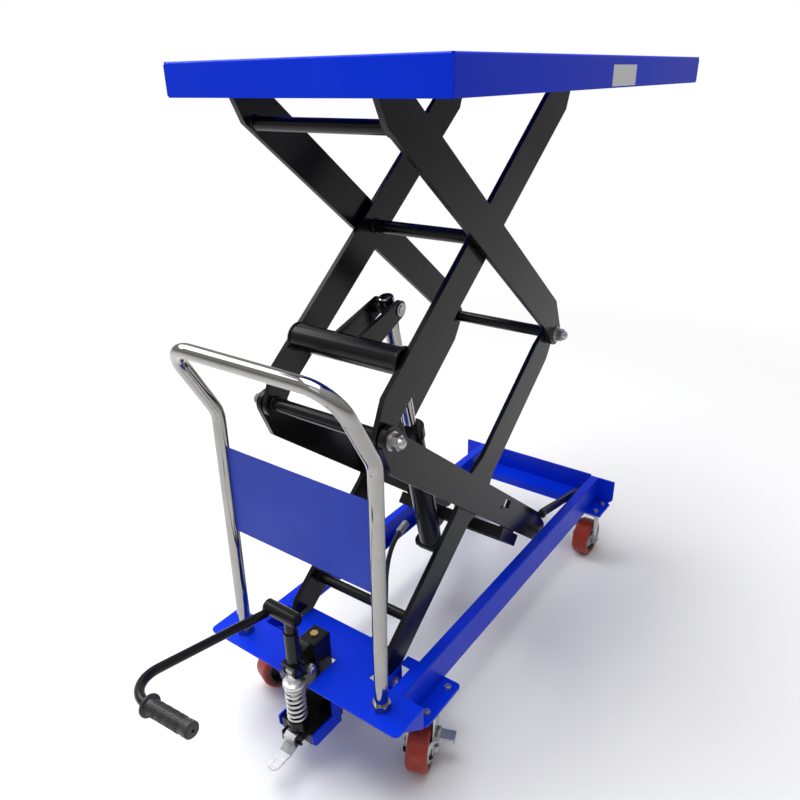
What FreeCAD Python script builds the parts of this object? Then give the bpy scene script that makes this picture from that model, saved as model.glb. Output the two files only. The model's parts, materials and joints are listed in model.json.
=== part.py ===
import FreeCAD, Part
import math
import os

# Scissor lift table: a wheeled base, two stacked scissors, a platform, a foot pump and a ram.
# X runs from the handle end to the far end, Y to the left, Z up.
# While modelling, x = 0 is the line of the handle-end pivots and floor_z is the floor.
# All sizes are in millimetres.

# scissors
arm_length = 805.0          # between the pivots of one arm
rest_rise = 520.0           # height gained by one scissor as stored
arm_depth = 68.0
arm_thick = 10.0
arm_end_radius = 24.0
platform_end_radius = 20.0
inner_arm_y = 115.0         # inner face of the inner arms
arm_gap = 4.0
pin_radius = 8.0
running = 0.05              # radial clearance of a turning fit
side_play = 0.5

# base
floor_z = 9.0
wheel_radius = 50.0
wheel_width = 42.0
mount_low_z = 154.0
mount_plate = 6.0
rail_height = 72.0
rail_sheet = 4.0
rail_outer_y = 185.0
rail_flange = 23.0
rail_front_x = -62.0
base_over = 80.0             # base beyond the reach of a level arm
flange_start_x = 338.0
base_roller_radius = 31.5
base_roller_width = 14.0
roller_gap = 0.3

# platform
platform_length = 1010.0
platform_width = 520.0
platform_depth = 50.0
platform_sheet = 3.0
platform_overhang = 25.0
platform_roller_radius = 22.0
platform_roller_width = 12.0

# safety prop
prop_hinge_inset = 17.0
prop_hinge_z = 202.5
prop_tip_inset = 34.5        # from the roller axle to the prop's tip
prop_tip_z = 269.5
prop_y = 150.0
prop_thick = 8.0

# ram, placed in the frames of the arms that carry it
ram_base = (541.0, -130.0)
ram_head = (236.6, -5.6)
barrel_radius = 25.0
barrel_top = 343.0
ram_rod_radius = 14.0
ram_rod_gap = 2.0           # oil space between the rod and the barrel
ram_rod_length = 334.5
ram_rod_over = 22.0
lug_thick = 8.0
head_lug_y = 20.0            # inner faces of the lugs at the ram's two ends
base_lug_y = 26.0

# handle and front deck
handle_radius = 12.5
handle_wall = 2.0
handle_foot_x = -91.0
handle_x = -83.5
handle_y = 171.0
handle_bend_z = 719.0
handle_bend = 60.0
handle_bar_x = -165.0
handle_bar_z = 865.0
handle_corner = 55.0
deck_sheet = 4.0
deck_front_x = -130.0
deck_step_x = -50.0
deck_back_x = 40.0
deck_half_width = 233.0
gusset_front_x = -112.0
gusset_low_z = 183.0
slot_front_x = -47.0
slot_back_x = 16.0
base_ear_gap = 2.0
base_ear_thick = 6.0
handle_nut_height = 14.0
handle_nut_across = 31.0
panel_low_z = 480.0
panel_high_z = 654.0
panel_sheet = 2.0

# pump
pump_x = -92.0              # front face of the pump block
pump_length = 44.0
pump_half_width = 19.0
pump_top_z = 298.0
piston_x = -133.0
lever_pivot = (-106.0, 252.0)
lever_roller = (-134.0, 263.0)
lever_roller_radius = 9.0
column_top_z = 348.0
column_radius = 13.5
neck_radius = 11.0
hub_radius = 14.0
hub_near_y = -21.0
hub_far_y = 54.0
hub_z = 382.0
pedal_root = (-128.0, 46.0, 373.0)
pedal_corner = (-416.0, 67.0, 420.0)
pedal_tip = (-411.0, -91.0, 432.0)
pedal_bend = 60.0
pedal_radius = 8.0
grip_radius = 13.0
grip_flange = 18.0
grip_length = 91.0
spring_radius = 17.0
spring_wire = 5.0
spring_turns = 6
spring_low_z = 143.0
spring_high_z = 212.0
cup_height = 21.0
release_hinge = (-153.0, 103.0)
hose_y = 12.0
hose_z = 125.0
bracket_half_width = 45.0
bracket_low_z = 93.0
bracket_high_z = 126.0
bracket_front_x = -142.0
bracket_back_x = -60.0

# casters
caster_y = 178.0
mount_in_y = 140.0
mount_out_y = 223.0
front_caster_x = 36.5
rear_caster_inset = 36.0
caster_trail = 33.0
caster_yaw = 20.0
caster_sheet = 4.0
front_plate = (96.0, 76.0)
front_bolts = (74.0, 57.0)
rear_plate = (70.0, 76.0)
rear_bolts = (46.0, 57.0)
front_mount = (-26.0, 96.0)
rear_mount_length = 71.0
end_ear = 45.0
end_ear_low_z = 176.0
cross_web_z = 181.0
cross_lip_reach = 61.0
fork_sheet = 3.0
hub_width = 45.0
fork_gap = 1.5
axle_radius = 6.0
brake_z = 86.0
brake_ahead = 12.0
brake_width = 24.0
brake_length = 33.0
brake_stand_off = 5.0

# worked out from the above
rest_angle = math.degrees(math.asin(rest_rise / arm_length))
far_x = math.sqrt(arm_length ** 2 - rest_rise ** 2)
base_far_x = arm_length + base_over
rear_caster_x = base_far_x - rear_caster_inset
prop_hinge = (base_far_x - prop_hinge_inset, prop_hinge_z)
prop_tip = (far_x - prop_tip_inset, prop_tip_z)
inner_out_y = inner_arm_y + arm_thick
outer_in_y = inner_out_y + arm_gap
outer_out_y = outer_in_y + arm_thick
bracket_y = outer_out_y + 4.0
base_ear_y = inner_out_y + base_ear_gap
bracket_thick = 6.0
rail_low_z = mount_low_z + mount_plate
axle_z = floor_z + wheel_radius
rail_top_z = rail_low_z + rail_height
base_pivot_z = rail_low_z + rail_sheet + roller_gap + base_roller_radius
mid_z = base_pivot_z + rest_rise
platform_pivot_z = mid_z + rest_rise
under_plate_z = platform_pivot_z + platform_roller_radius + roller_gap
platform_top_z = under_plate_z + platform_sheet
deck_top_z = rail_top_z + deck_sheet
rail_edge_y = rail_outer_y - rail_flange
base_roller_y = rail_edge_y + 1.5
platform_roller_y = outer_out_y + 2.5

grip_lean = (pedal_tip[0] - pedal_corner[0]) / math.dist(pedal_tip, pedal_corner)
grip_far_x = pedal_tip[0] - grip_lean * grip_length - grip_flange * math.sqrt(1 - grip_lean ** 2)
centre_x = (grip_far_x + platform_length - platform_overhang) / 2

lower_outer = ((0.0, mid_z), -rest_angle)
lower_inner = ((0.0, base_pivot_z), rest_angle)
upper_inner = ((0.0, mid_z), rest_angle)
upper_outer = ((0.0, platform_pivot_z), -rest_angle)


def at(x, y, z):
    return FreeCAD.Vector(x, y, z)


def block(x0, x1, y0, y1, z0, z1):
    return Part.makeBox(x1 - x0, y1 - y0, z1 - z0, at(x0, y0, z0))


def rod(a, b, radius):
    return Part.makeCylinder(radius, (b - a).Length, a, b - a)


def cross_rod(x, z, radius, y0, y1):
    return rod(at(x, y0, z), at(x, y1, z), radius)


def upright(x, y, radius, z0, z1):
    return rod(at(x, y, z0), at(x, y, z1), radius)


def hexagon(a, b, across):
    # a hexagonal prism from a to b
    corners = []
    for i in range(6):
        turn = math.radians(60 * i)
        corners.append(at(math.cos(turn), math.sin(turn), 0) * (across / math.sqrt(3)))
    face = Part.Face(Part.makePolygon(corners + corners[:1]))
    prism = face.extrude(at(0, 0, (b - a).Length))
    prism.Placement = FreeCAD.Placement(a, FreeCAD.Rotation(at(0, 0, 1), b - a))
    return prism


def mirrored(shape):
    return shape.mirror(at(0, 0, 0), at(0, 1, 0))


def pair(shape):
    return [shape, mirrored(shape)]


def joined(first, *others):
    return first.fuse(list(others)).removeSplitter()


def side_profile(points, y0, y1):
    # a closed outline of (x, z) points, as thick as y0 to y1
    corners = [at(x, y0, z) for x, z in points]
    return Part.Face(Part.makePolygon(corners + corners[:1])).extrude(at(0, y1 - y0, 0))


def turned_profile(points, axis_x, axis_z):
    # (radius, y) points turned about the line along Y through (axis_x, axis_z)
    corners = [at(axis_x + radius, y, axis_z) for radius, y in points]
    face = Part.Face(Part.makePolygon(corners + corners[:1]))
    return face.revolve(at(axis_x, 0, axis_z), at(0, 1, 0), 360)


def turned_up(points, base):
    # (radius, height) points turned about the upright line through base
    corners = [base + at(radius, 0, height) for radius, height in points]
    return Part.Face(Part.makePolygon(corners + corners[:1])).revolve(base, at(0, 0, 1), 360)


def link(c1, r1, c2, r2, y0, y1):
    # a plate with two round ends and straight sides that touch both
    run = math.hypot(c2[0] - c1[0], c2[1] - c1[1])
    heading = math.atan2(c2[1] - c1[1], c2[0] - c1[0])
    spread = math.acos((r1 - r2) / run)

    def rim(centre, radius, turn):
        return at(centre[0] + radius * math.cos(turn), y0, centre[1] + radius * math.sin(turn))

    a1, a2 = rim(c1, r1, heading + spread), rim(c1, r1, heading - spread)
    b1, b2 = rim(c2, r2, heading + spread), rim(c2, r2, heading - spread)
    edges = [
        Part.Arc(a1, rim(c1, r1, heading + math.pi), a2).toShape(),
        Part.makeLine(a2, b2),
        Part.Arc(b2, rim(c2, r2, heading), b1).toShape(),
        Part.makeLine(b1, a1),
    ]
    return Part.Face(Part.Wire(edges)).extrude(at(0, y1 - y0, 0))


def tube_run(points, bends, radius):
    # straight runs joined by tangent bends, as a solid round bar
    pieces = []
    start = points[0]
    for before, corner, after, bend in zip(points, points[1:], points[2:], bends):
        back, ahead = (before - corner).normalize(), (after - corner).normalize()
        half = back.getAngle(ahead) / 2
        entry, leave = corner + back * (bend / math.tan(half)), corner + ahead * (bend / math.tan(half))
        centre = corner + (back + ahead).normalize() * (bend / math.sin(half))
        disc = Part.Face(Part.Wire(Part.makeCircle(radius, entry, back)))
        pieces.append(disc.revolve(centre, ahead.cross(back), 180 - math.degrees(2 * half)))
        if (entry - start).Length > 0.01:
            pieces.append(rod(start, entry, radius))
        start = leave
    return joined(rod(start, points[-1], radius), *pieces)


def arm_point(arm, s, n):
    # (x, z) of a point s along an arm from its first pivot and n above its pivot line
    (x, z), rise = arm
    turn = math.radians(rise)
    return (x + s * math.cos(turn) - n * math.sin(turn), z + s * math.sin(turn) + n * math.cos(turn))


def placed(shape, arm):
    (x, z), rise = arm
    shape.rotate(at(0, 0, 0), at(0, 1, 0), -rise)
    shape.translate(at(x, 0, z))
    return shape


def touch(point, centre_s, radius, side):
    # angle at which a line from point touches the circle round (centre_s, 0)
    ds, dn = point[0] - centre_s, point[1]
    return math.atan2(dn, ds) + side * math.acos(radius / math.hypot(ds, dn))


def arm_plate(arm, upper, lower, radii, y0, bores, windows=()):
    # one flat arm: straight edges through the given points, with a round end about each pivot
    r0, r1 = radii
    up0, low0 = touch(upper[0], 0, r0, 1), touch(lower[0], 0, r0, -1)
    up1, low1 = touch(upper[-1], arm_length, r1, -1), touch(lower[-1], arm_length, r1, 1)

    def rim(centre_s, radius, turn):
        return at(centre_s + radius * math.cos(turn), y0, radius * math.sin(turn))

    first = rim(0, r0, up0)
    low_first = rim(0, r0, low0)
    last = rim(arm_length, r1, up1)
    low_last = rim(arm_length, r1, low1)
    top = [first] + [at(s, y0, n) for s, n in upper] + [last]
    bottom = [low_last] + [at(s, y0, n) for s, n in reversed(lower)] + [low_first]
    near_turn = (up0 + low0) / 2 + math.pi
    far_turn = math.atan2(math.sin(up1) + math.sin(low1), math.cos(up1) + math.cos(low1))
    edges = [Part.makeLine(a, b) for a, b in zip(top, top[1:])]
    edges.append(Part.Arc(last, rim(arm_length, r1, far_turn), low_last).toShape())
    edges += [Part.makeLine(a, b) for a, b in zip(bottom, bottom[1:])]
    edges.append(Part.Arc(low_first, rim(0, r0, near_turn), first).toShape())
    plate = Part.Face(Part.Wire(edges)).extrude(at(0, arm_thick, 0))
    y1 = y0 + arm_thick
    for s, radius in bores:
        plate = plate.cut(cross_rod(s, 0, radius, y0 - 1, y1 + 1))
    for s0, s1, n0, n1 in windows:
        plate = plate.cut(block(s0, s1, y0 - 1, y1 + 1, n0, n1))
    return placed(plate, arm)


def save(name, *shapes):
    solids = [solid.copy() for shape in shapes for solid in shape.Solids]
    whole = solids[0] if len(solids) == 1 else Part.makeCompound(solids)
    whole.translate(at(-centre_x, 0, -floor_z))
    whole.exportStep("parts/" + name + ".step")
    print(name, len(solids), round(sum(s.Volume for s in solids) / 1000, 1), "cm3")


def save_sides(name, shape):
    # a left and a right copy, each in a file of its own
    save("left_" + name, shape)
    save("right_" + name, mirrored(shape))


# scissor arms, on the left side
def make_arms():
    middle = arm_length / 2
    turning = pin_radius + running
    boss = cross_rod(0, 0, 15.5, outer_out_y, outer_out_y + 3)
    boss = boss.cut(cross_rod(0, 0, turning, outer_out_y - 1, outer_out_y + 4))
    arm = arm_plate(lower_outer, [(44, 19), (748, 37)], [(44, -50), (790, -30)],
                    (arm_end_radius, arm_end_radius), outer_in_y,
                    [(0, pin_radius), (middle, 12), (arm_length, pin_radius), (520, 4)],
                    [(530, 560, 4, 22)])
    save_sides("lower_outer_arm", arm)

    arm = arm_plate(lower_inner, [(50, 55), (340, 47), (380, 58), (425, 58), (470, 43), (748, 35)],
                    [(42, -12), (345, -27), (380, -46), (425, -47), (465, -33), (760, -40)],
                    (arm_end_radius, arm_end_radius), inner_arm_y,
                    [(0, turning), (middle, 12 + running), (arm_length, turning)])
    save_sides("lower_inner_arm", arm)

    arm = arm_plate(upper_inner, [(46, 48), (715, 29)], [(42, -16), (760, -46)],
                    (arm_end_radius, platform_end_radius), inner_arm_y,
                    [(0, turning), (middle, turning), (arm_length, pin_radius)])
    save_sides("upper_inner_arm", arm)

    arm = arm_plate(upper_outer, [(60, 27), (748, 53)], [(46, -41), (758, -15)],
                    (platform_end_radius, arm_end_radius), outer_in_y,
                    [(0, turning), (middle, pin_radius), (arm_length, pin_radius)])
    save_sides("upper_outer_arm", arm)


def through_shaft(x, z):
    # a rod through a cross tube, with a washer, a nut and a domed end outside each outer arm
    tip = outer_out_y + 10
    shaft = cross_rod(x, z, pin_radius, -tip, tip)
    for side in (1, -1):
        face = side * outer_out_y
        dome = Part.makeSphere(10.5, at(x, face + side * 17, z))
        shaft = joined(shaft, cross_rod(x, z, 16.5, face, face + side * 3),
                       cross_rod(x, z, 13.5, face + side * 3, face + side * 5),
                       hexagon(at(x, face + side * 5, z), at(x, face + side * 17, z), 24), dome)
    return shaft


def stub_pin(x, z, radius):
    # a pin welded flush in the outer arm, with a retaining ring inside the inner arm
    pin = cross_rod(x, z, radius, inner_arm_y - 4, outer_out_y)
    ring = cross_rod(x, z, radius + 4, inner_arm_y - 2.5, inner_arm_y - side_play)
    washer = cross_rod(x, z, radius + 5, inner_out_y + side_play, outer_in_y)
    return joined(pin, ring, washer)


def make_shafts():
    centre_low = arm_point(lower_outer, arm_length / 2, 0)
    centre_high = arm_point(upper_outer, arm_length / 2, 0)
    save("lower_pivot_shafts", through_shaft(0, mid_z), *pair(stub_pin(*centre_low, 12)))
    shaft = cross_rod(*centre_high, pin_radius, -outer_out_y, outer_out_y)
    for side in (1, -1):
        washer = cross_rod(*centre_high, 13, side * (inner_out_y + side_play), side * outer_in_y)
        shaft = joined(shaft, washer)
    save("upper_pivot_shafts", through_shaft(far_x, mid_z), shaft)

    axle = cross_rod(far_x, base_pivot_z, pin_radius, outer_in_y, base_roller_y + base_roller_width + 2)
    shoulder = cross_rod(far_x, base_pivot_z, 10, outer_out_y, base_roller_y - side_play)
    clip_y = base_roller_y + base_roller_width + side_play
    clip = cross_rod(far_x, base_pivot_z, 11, clip_y, clip_y + 1.2)
    save("base_roller_axles", *pair(joined(axle, shoulder, clip)))

    clip_y = platform_roller_y + platform_roller_width + side_play
    axle = cross_rod(far_x, platform_pivot_z, pin_radius, inner_arm_y, clip_y + 1.3)
    shoulder = cross_rod(far_x, platform_pivot_z, 11, inner_out_y, platform_roller_y - side_play)
    clip = cross_rod(far_x, platform_pivot_z, 11, clip_y, clip_y + 1)
    save("platform_roller_axles", *pair(joined(axle, shoulder, clip)))


def cross_tube(x, z, radius, bore, half):
    tube = cross_rod(x, z, radius, -half, half)
    return tube.cut(cross_rod(x, z, bore, -half - 1, half + 1))


def make_cross_tubes():
    turning = pin_radius + running
    low_tube = cross_tube(*arm_point(lower_inner, 117, 18), 10.5, 8, inner_arm_y)
    far_tube = cross_tube(far_x, mid_z, 12.5, turning, inner_arm_y)
    save("lower_inner_cross_tubes", low_tube, far_tube)

    handle_tube = cross_tube(0, mid_z, 12.5, turning, inner_arm_y)
    centre_tube = cross_tube(*arm_point(upper_inner, arm_length / 2, 0), 12.5, turning, inner_arm_y)
    save("upper_inner_cross_tubes", handle_tube, centre_tube)

    save("upper_outer_cross_tube", cross_tube(*arm_point(upper_outer, 63, -28), 10.5, 8, outer_in_y))

    torsion = arm_point(upper_inner, 121, 36)
    head = arm_point(upper_inner, *ram_head)
    tube = cross_rod(*torsion, 24, -inner_arm_y, inner_arm_y)
    lug_y = head_lug_y
    lug = link(torsion, 24, head, 16, lug_y, lug_y + lug_thick)
    lug = lug.cut(cross_rod(*head, pin_radius, lug_y - 1, lug_y + lug_thick + 1))
    tube = joined(tube, *pair(lug)).cut(cross_rod(*torsion, 20, -inner_arm_y - 1, inner_arm_y + 1))
    save("torsion_tube", tube)

    pin = cross_rod(*head, pin_radius, -lug_y - lug_thick - 4, lug_y + lug_thick + 4)
    for side in (1, -1):
        face = side * (lug_y + lug_thick)
        pin = joined(pin, cross_rod(*head, 12, face, face + side * 2.5))
    save("ram_head_pin", pin)


# ram: its rod hangs on the torsion tube's lugs, its barrel stands on the cross beam's lugs
def make_ram():
    base_x, base_z = arm_point(lower_outer, *ram_base)
    head_x, head_z = arm_point(upper_inner, *ram_head)
    base, head = at(base_x, 0, base_z), at(head_x, 0, head_z)
    up = (head - base).normalize()
    ram = rod(head - up * ram_rod_length, head + up * ram_rod_over, ram_rod_radius)
    ram = ram.makeChamfer(2, [ram.Edges[0], ram.Edges[2]])
    ram = ram.cut(cross_rod(head_x, head_z, pin_radius + running, -30, 30))
    save("ram_rod", ram)

    barrel = rod(base + up * 20, base + up * barrel_top, barrel_radius)
    neck = rod(base, base + up * 20, 14)
    gland = rod(base + up * (barrel_top - 24), base + up * barrel_top, barrel_radius + 4)
    eye = cross_rod(base_x, base_z, 18, 1 - base_lug_y, base_lug_y - 1)
    barrel = joined(barrel, neck, gland, eye)
    barrel = barrel.cut(rod(base + up * 24, base + up * (barrel_top - 12), ram_rod_radius + ram_rod_gap))
    barrel = barrel.cut(rod(base + up * 24, base + up * (barrel_top + 1), ram_rod_radius + running))
    save("ram_barrel", barrel)


def make_cross_beam():
    # a folded channel under the lower outer arms, with end plates on their inner faces
    half = outer_out_y
    s0, s1, low_n, web_n, top_n = 571.0, 673.0, -66.0, -44.0, -38.0
    beam = block(s0, s1, -half, half, web_n, top_n)
    for start in (s0, s1 - 6):
        beam = joined(beam, block(start, start + 6, -half, half, low_n, top_n))
    for side in (1, -1):
        low, high = sorted((side * (half - 5), side * half))
        beam = joined(beam, block(s0, s1, low, high, low_n, top_n))
        low, high = sorted((side * (outer_in_y - 3.5), side * outer_in_y))
        beam = joined(beam, block(s0 + 8, s1 - 8, low, high, low_n + 8, -18))
    lug_y = base_lug_y
    lug = link(ram_base, 16, (585, -60), 30, lug_y, lug_y + lug_thick)
    lug = lug.cut(block(500, 700, lug_y - 1, lug_y + lug_thick + 1, -44, 0))
    stud = cross_rod(*ram_base, pin_radius, lug_y, lug_y + lug_thick + 6)
    head = cross_rod(*ram_base, 12, lug_y + lug_thick, lug_y + lug_thick + 4)
    lug = joined(lug, stud, head)
    save("ram_cross_beam", placed(joined(beam, *pair(lug)), lower_outer))


# rollers, each free on its axle
def roller(x, z, radius, y, width):
    edge = 1.5
    bore = pin_radius + running
    outline = [(bore, y), (radius - edge, y), (radius, y + edge), (radius, y + width - edge),
               (radius - edge, y + width), (bore, y + width)]
    return turned_profile(outline, x, z)


def make_rollers():
    save_sides("base_roller", roller(far_x, base_pivot_z, base_roller_radius,
                                     base_roller_y, base_roller_width))
    save_sides("platform_roller", roller(far_x, platform_pivot_z, platform_roller_radius,
                                         platform_roller_y, platform_roller_width))


# platform
def make_platform():
    x0, x1 = -platform_overhang, platform_length - platform_overhang
    half = platform_width / 2
    pan = block(x0, x1, -half, half, platform_top_z - platform_depth, platform_top_z)
    corners = [e for e in pan.Edges if abs(e.Vertexes[0].Z - e.Vertexes[1].Z) > 1]
    pan = pan.makeFillet(4, corners)
    inside = block(x0 + platform_sheet, x1 - platform_sheet, -half + platform_sheet, half - platform_sheet,
                   platform_top_z - platform_depth - 1, under_plate_z)
    save("platform_top", pan.cut(inside))

    web_in = platform_roller_y + platform_roller_width + 2.5
    web_out = web_in + rail_sheet
    flange_in = platform_roller_y - 1
    flange_top = platform_pivot_z - platform_roller_radius - 0.7
    start, end = 470.0, 880.0
    channel = joined(block(start, end, web_in, web_out, flange_top - rail_sheet, under_plate_z),
                     block(start, end, flange_in, web_out, flange_top - rail_sheet, flange_top))
    low_y, high_y = bracket_y, bracket_y + bracket_thick
    ear = link((0, platform_pivot_z), 18, (0, under_plate_z + 20), 18, low_y, high_y)
    ear = ear.cut(block(-50, 50, low_y - 1, high_y + 1, under_plate_z, under_plate_z + 60))
    stud = cross_rod(0, platform_pivot_z, pin_radius, outer_in_y - 4, high_y + 3)
    ring = cross_rod(0, platform_pivot_z, 12, outer_in_y - 2.5, outer_in_y - side_play)
    spacer = cross_rod(0, platform_pivot_z, 13, outer_out_y + side_play, low_y)
    head = cross_rod(0, platform_pivot_z, 11, high_y, high_y + 3)
    ear = joined(ear, stud, ring, spacer, head)
    save("platform_underframe", *pair(channel), *pair(ear))


# base frame
def make_rails():
    web_in = rail_outer_y - rail_sheet
    web = block(rail_front_x, base_far_x, web_in, rail_outer_y, rail_low_z, rail_top_z)
    top = block(rail_front_x, base_far_x, rail_edge_y, rail_outer_y, rail_top_z - rail_sheet, rail_top_z)
    bottom = block(flange_start_x, base_far_x, rail_edge_y, rail_outer_y,
                   rail_low_z, rail_low_z + rail_sheet)
    save("side_rails", *pair(joined(web, top, bottom)))


def make_far_cross_member():
    half = rail_edge_y
    web_z, lip_x = cross_web_z, base_far_x - cross_lip_reach
    prop_x, prop_z = prop_hinge
    member = joined(block(base_far_x - rail_sheet, base_far_x, -half, half, web_z - rail_sheet, deck_top_z),
                    block(lip_x, base_far_x, -half, half, web_z - rail_sheet, web_z),
                    block(lip_x, lip_x + rail_sheet, -mount_in_y, mount_in_y, rail_low_z, web_z))
    near, far = -prop_y - prop_thick, -prop_y
    ear = link((prop_x, prop_z), 9, (prop_x, web_z - 1), 11, far + side_play, far + 5)
    ear = ear.cut(block(prop_x - 20, prop_x + 20, far, far + 6, web_z - 20, web_z))
    pin = cross_rod(prop_x, prop_z, 5, near - 2, far + 3)
    ring = cross_rod(prop_x, prop_z, 8, near - 1.7, near - side_play)
    save("far_cross_member", joined(member, ear, pin, ring))

    bar = link((prop_x, prop_z), 9.5, prop_tip, 10.5, near, far)
    bar = bar.cut(cross_rod(prop_x, prop_z, 5 + running, near - 1, far + 1))
    bolt = cross_rod(*prop_tip, 5, near - 8, far + 3)
    x, z = prop_tip
    nut = hexagon(at(x, near, z), at(x, near - 6, z), 16)
    save("safety_prop", joined(bar, bolt, nut))


def make_mount_plates():
    low, high = mount_low_z, rail_low_z
    y0, y1 = mount_in_y, mount_out_y
    front = block(*front_mount, y0, y1, low, high)
    corners = [e for e in front.Edges if all(v.Y > y1 - 1 for v in e.Vertexes)
               and abs(e.Vertexes[0].Z - e.Vertexes[1].Z) > 1]
    front = front.makeFillet(8, corners)
    rear = block(base_far_x - rear_mount_length, base_far_x, y0, y1, low, high)
    end = block(base_far_x - rail_sheet, base_far_x, rail_outer_y, rail_outer_y + end_ear,
                low, rail_top_z)
    slope = side_profile([(0, end_ear_low_z), (0, low - 1), (20, low - 1)], 0, 20)
    slope.rotate(at(0, 0, 0), at(0, 0, 1), -90)
    slope.translate(at(base_far_x - 10, rail_outer_y + end_ear + 1, 0))
    rear = joined(rear, end.cut(slope))
    plates = []
    fittings = ((front, front_caster_x, front_bolts), (rear, rear_caster_x, rear_bolts))
    for plate, centre, spacing in fittings:
        for x, y in bolt_places(centre, spacing):
            plate = plate.cut(upright(x, y, 4.5, low - 1, high + 1))
        plates.append(plate)
    save("caster_mounting_plates", *pair(plates[0]), *pair(plates[1]))


def bolt_places(centre, spacing):
    places = []
    for dx in (-spacing[0] / 2, spacing[0] / 2):
        for dy in (-spacing[1] / 2, spacing[1] / 2):
            places.append((centre + dx, caster_y + dy))
    return places


def make_bolts():
    bolts = []
    for x, y in bolt_places(front_caster_x, front_bolts) + bolt_places(rear_caster_x, rear_bolts):
        zinc_low = mount_low_z - caster_sheet
        bolt = joined(upright(x, y, 4, zinc_low - 5, rail_low_z + 9),
                      hexagon(at(x, y, zinc_low - 5.3), at(x, y, zinc_low), 13),
                      hexagon(at(x, y, rail_low_z), at(x, y, rail_low_z + 6.5), 13))
        bolts += pair(bolt)
    save("caster_bolts", *bolts)


def make_deck():
    low, high = rail_top_z, deck_top_z
    wide = block(deck_front_x, deck_step_x, -deck_half_width, deck_half_width, low, high)
    corners = [e for e in wide.Edges if abs(e.Vertexes[0].Z - e.Vertexes[1].Z) > 1
               and e.Vertexes[0].X < deck_front_x + 1]
    wide = wide.makeFillet(12, corners)
    rear = block(deck_step_x - 8, deck_back_x, -rail_edge_y, rail_edge_y, low - deck_sheet, low)
    gusset = side_profile([(gusset_front_x, low + 1), (deck_step_x, low + 1), (deck_step_x, gusset_low_z)],
                          deck_half_width - deck_sheet, deck_half_width)
    deck = joined(wide, rear, *pair(gusset))
    deck = deck.cut(block(deck_front_x - 1, pump_x + pump_length + 3, -31, 31, low - 9, high + 1))
    for side in (1, -1):
        y0, y1 = sorted((side * (inner_arm_y - 7), side * (base_ear_y + base_ear_thick + 3)))
        deck = deck.cut(block(slot_front_x, deck_back_x + 1, y0, y1, low - 9, low))
        y0, y1 = sorted((side * (inner_arm_y - 7), side * (rail_edge_y - 4)))
        deck = deck.cut(block(slot_front_x, slot_back_x, y0, y1, low - 9, low))
    outline = [(-80, 172), (-80, low), (slot_front_x - 2, low), (-24, 216), (24, 216),
               (24, 184), (14, 172)]
    ear = side_profile(outline, base_ear_y, base_ear_y + base_ear_thick)
    spacer = cross_rod(0, base_pivot_z, 14, inner_out_y + side_play, base_ear_y)
    ear = joined(ear, spacer)
    ear = ear.cut(cross_rod(0, base_pivot_z, pin_radius, inner_out_y, base_ear_y + 9))
    deck = joined(deck, *pair(ear))
    save("front_deck", deck)

    outer = base_ear_y + base_ear_thick
    pin = cross_rod(0, base_pivot_z, pin_radius, inner_arm_y - 4, outer + 8)
    ring = cross_rod(0, base_pivot_z, 12, inner_arm_y - 2.5, inner_arm_y - side_play)
    head = hexagon(at(0, outer, base_pivot_z), at(0, outer + 6, base_pivot_z), 20)
    save("base_pivot_pins", *pair(joined(pin, ring, head)))


def make_handle():
    below = 6.0
    side = [at(leg_point(deck_top_z - below), handle_y, deck_top_z - below),
            at(handle_x, handle_y, handle_bend_z), at(handle_bar_x, handle_y, handle_bar_z)]
    points = side + [at(p.x, -p.y, p.z) for p in reversed(side)]
    bends = [handle_bend, handle_corner, handle_corner, handle_bend]
    bar = tube_run(points, bends, handle_radius)
    foot_cut = block(handle_foot_x - 20, handle_foot_x + 20, -handle_y - 20, handle_y + 20,
                     deck_top_z - 2 * below, deck_top_z)
    tube = bar.cut(tube_run(points, bends, handle_radius - handle_wall)).cut(foot_cut)
    save("push_handle", tube)
    wide, h = handle_nut_across / math.sqrt(3), handle_nut_height
    start = at(handle_foot_x, handle_y, deck_top_z)
    nut = hexagon(start, start + at(0, 0, h), handle_nut_across)
    chamfered = [(0, 0), (wide - 2, 0), (wide, 2), (wide, h - 2), (wide - 2, h), (0, h)]
    nut = nut.common(turned_up(chamfered, start)).cut(bar)
    save("handle_nuts", *pair(nut))
    edge = handle_y - handle_radius
    low, high = leg_point(panel_low_z), leg_point(panel_high_z)
    outline = [(low - panel_sheet / 2, panel_low_z), (low + panel_sheet / 2, panel_low_z),
               (high + panel_sheet / 2, panel_high_z), (high - panel_sheet / 2, panel_high_z)]
    save("handle_panel", side_profile(outline, -edge, edge))


def leg_point(z):
    # x of the handle's leg at a height
    return handle_foot_x + (handle_x - handle_foot_x) * (z - deck_top_z) / (handle_bend_z - deck_top_z)


# casters, on the left side
def wheel_tread(x, y):
    half = wheel_width / 2
    core, crown = wheel_radius - 11, wheel_radius - 4
    outline = [(core, y - half), (crown, y - half), (wheel_radius, y - half + 5),
               (wheel_radius, y + half - 5), (crown, y + half), (core, y + half)]
    return turned_profile(outline, x, axle_z)


def wheel_hub(x, y):
    half, rim, web = wheel_width / 2 - 1, hub_width / 2, 6.0
    core = wheel_radius - 11
    bore = axle_radius + running
    outline = [(bore, y - rim), (16, y - rim), (18, y - web - 3), (core - 8, y - web),
               (core - 6, y - half), (core, y - half), (core, y + half), (core - 6, y + half),
               (core - 8, y + web), (18, y + web + 3), (16, y + rim), (bore, y + rim)]
    return turned_profile(outline, x, axle_z)


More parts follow.
